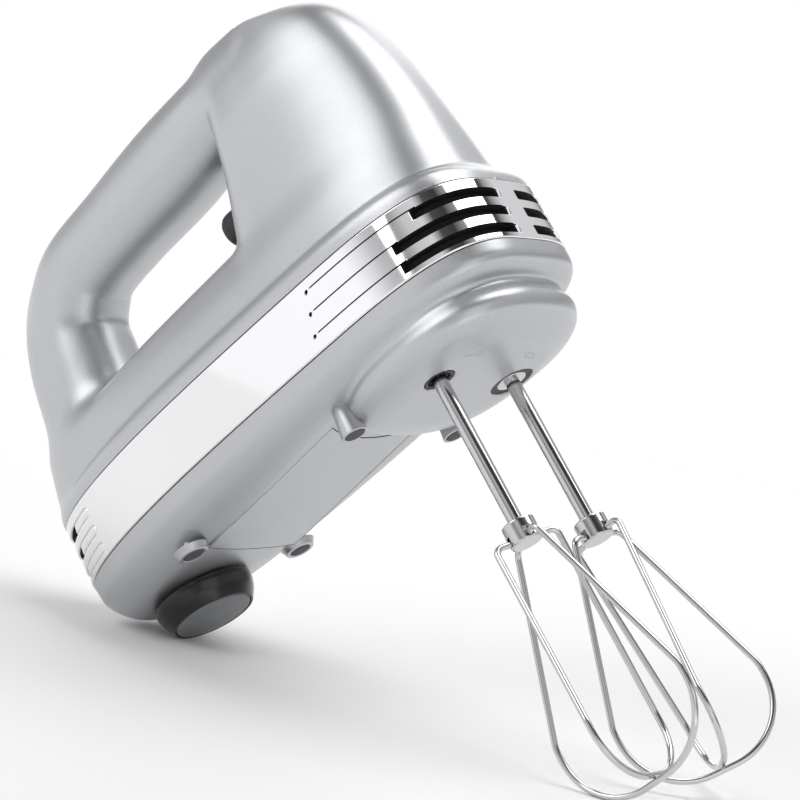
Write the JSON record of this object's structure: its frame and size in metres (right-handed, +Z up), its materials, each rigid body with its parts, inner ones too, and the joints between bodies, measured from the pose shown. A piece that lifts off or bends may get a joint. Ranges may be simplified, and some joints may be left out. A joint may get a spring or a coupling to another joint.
{
  "type": "hand mixer",
  "caption": "Electric hand mixer: pitched body with a loop handle, vented chrome belt, swivelling cord hub and two geared wire beaters that a button releases.",
  "frame": {"origin": "centre of the bounding box at the floor, with the mixer pitched nose-up on its cord hub and beaters", "axes": "+Z up, +X towards the nose and beaters, +Y to the mixer's left"},
  "size_m": [0.2962, 0.0774, 0.2133],
  "materials": {
    "silver_upper": "satin silver paint",
    "silver_lower": "satin silver paint",
    "chrome_trim": "polished",
    "black_plastic": "gloss",
    "grey_disc": "fine texture",
    "grey_button": "fine texture",
    "display": "clear gloss",
    "circuit_board": "lacquered",
    "foot_rubber": "matte",
    "nylon": "natural",
    "bronze": "sintered",
    "steel": "turned",
    "copper": "enamelled",
    "carbon": "matte",
    "beater_chrome": "polished"
  },
  "bodies": {
    "body": {"upper_housing": "silver_upper", "lower_housing": "silver_lower", "bottom_cover": "silver_lower", "belt_trim": "chrome_trim", "foot_pad_front_left": "foot_rubber", "foot_pad_rear_left": "foot_rubber", "foot_pad_front_right": "foot_rubber", "foot_pad_rear_right": "foot_rubber", "lower_bushing_left": "bronze", "upper_bushing_left": "bronze", "socket_ring_left": "black_plastic", "lower_bushing_right": "bronze", "upper_bushing_right": "bronze", "socket_ring_right": "black_plastic", "gearbox_base": "nylon", "gearbox_bridge": "nylon", "motor_stator": "steel", "field_coil_left": "copper", "field_coil_right": "copper", "motor_bracket_front": "nylon", "motor_bushing_front": "bronze", "motor_bracket_rear": "nylon", "motor_bushing_rear": "bronze", "carbon_brush_left": "carbon", "brush_holder_left": "black_plastic", "carbon_brush_right": "carbon", "brush_holder_right": "black_plastic", "release_spring": "steel", "control_panel": "black_plastic", "display_lens": "display", "control_board": "circuit_board", "housing_screws": "steel"},
    "rotor": {"motor_shaft": "steel", "rotor_core": "steel", "rotor_windings": "copper", "commutator": "copper", "cooling_fan": "nylon"},
    "spindle_left": {"drive_spindle_left": "steel", "worm_wheel_left": "nylon"},
    "spindle_right": {"drive_spindle_right": "steel", "worm_wheel_right": "nylon"},
    "pin_left": {"ejector_pin_left": "steel"},
    "pin_right": {"ejector_pin_right": "steel"},
    "beater_left": {"beater_shaft_left": "beater_chrome", "beater_knob_left": "beater_chrome", "beater_wide_loop_left": "beater_chrome", "beater_narrow_loop_left": "beater_chrome", "beater_collar_left": "beater_chrome"},
    "beater_right": {"beater_shaft_right": "beater_chrome", "beater_knob_right": "beater_chrome", "beater_wide_loop_right": "beater_chrome", "beater_narrow_loop_right": "beater_chrome"},
    "release_button": {"release_button": "grey_button"},
    "release_pusher": {"release_pusher": "black_plastic"},
    "power_button": {"power_button": "grey_button"},
    "faster_button": {"faster_button": "grey_button"},
    "slower_button": {"slower_button": "grey_button"},
    "cord_hub": {"cord_hub": "black_plastic", "cord_hub_cap": "grey_disc", "cord_hub_clip": "black_plastic"}
  },
  "joints": [
    {"name": "motor_spin", "type": "hinge", "parent": "body", "child": "rotor", "pos_m": [-0.03208, 0, 0.08342], "axis": [0.6983, 0, 0.7158], "continuous": true},
    {"name": "left_spindle_spin", "type": "hinge", "parent": "body", "child": "spindle_left", "pos_m": [0.02159, 0.019, 0.12411], "axis": [-0.7158, 0, 0.6983], "continuous": true},
    {"name": "left_pin_slide", "type": "slide", "parent": "spindle_left", "child": "pin_left", "axis": [0.7158, 0, -0.6983], "range_m": [0, 0.006]},
    {"name": "left_beater_pull", "type": "slide", "parent": "pin_left", "child": "beater_left", "axis": [0.7158, 0, -0.6983], "range_m": [0, 0.045]},
    {"name": "right_spindle_spin", "type": "hinge", "parent": "body", "child": "spindle_right", "pos_m": [0.02159, -0.019, 0.12411], "axis": [-0.7158, 0, 0.6983], "continuous": true},
    {"name": "right_pin_slide", "type": "slide", "parent": "spindle_right", "child": "pin_right", "axis": [0.7158, 0, -0.6983], "range_m": [0, 0.006]},
    {"name": "right_beater_pull", "type": "slide", "parent": "pin_right", "child": "beater_right", "axis": [0.7158, 0, -0.6983], "range_m": [0, 0.045]},
    {"name": "release_press", "type": "slide", "parent": "body", "child": "release_button", "axis": [0.6983, 0, 0.7158], "range_m": [0, 0.006], "stiffness_N_per_m": 500, "springref_m": -0.004},
    {"name": "pusher_slide", "type": "slide", "parent": "body", "child": "release_pusher", "axis": [0.7158, 0, -0.6983], "range_m": [0, 0.006], "deforming": ["release_spring"]},
    {"name": "cord_hub_turn", "type": "hinge", "parent": "body", "child": "cord_hub", "pos_m": [-0.05537, 0, 0.01659], "axis": [-0.7158, 0, 0.6983], "range_deg": [-90, 90]},
    {"name": "power_press", "type": "slide", "parent": "body", "child": "power_button", "axis": [0.6653, 0, -0.7465], "range_m": [0, 0.001], "stiffness_N_per_m": 400, "springref_m": -0.001},
    {"name": "faster_press", "type": "slide", "parent": "body", "child": "faster_button", "axis": [0.6653, 0, -0.7465], "range_m": [0, 0.001], "stiffness_N_per_m": 400, "springref_m": -0.001},
    {"name": "slower_press", "type": "slide", "parent": "body", "child": "slower_button", "axis": [0.6653, 0, -0.7465], "range_m": [0, 0.001], "stiffness_N_per_m": 400, "springref_m": -0.001}
  ],
  "couplings": [
    {"joint": "left_spindle_spin", "follows": "motor_spin", "ratio": -0.034483},
    {"joint": "right_spindle_spin", "follows": "motor_spin", "ratio": 0.034483},
    {"joint": "pusher_slide", "follows": "release_press", "ratio": 1},
    {"joint": "left_pin_slide", "follows": "release_press", "ratio": 1},
    {"joint": "right_pin_slide", "follows": "release_press", "ratio": 1}
  ]
}
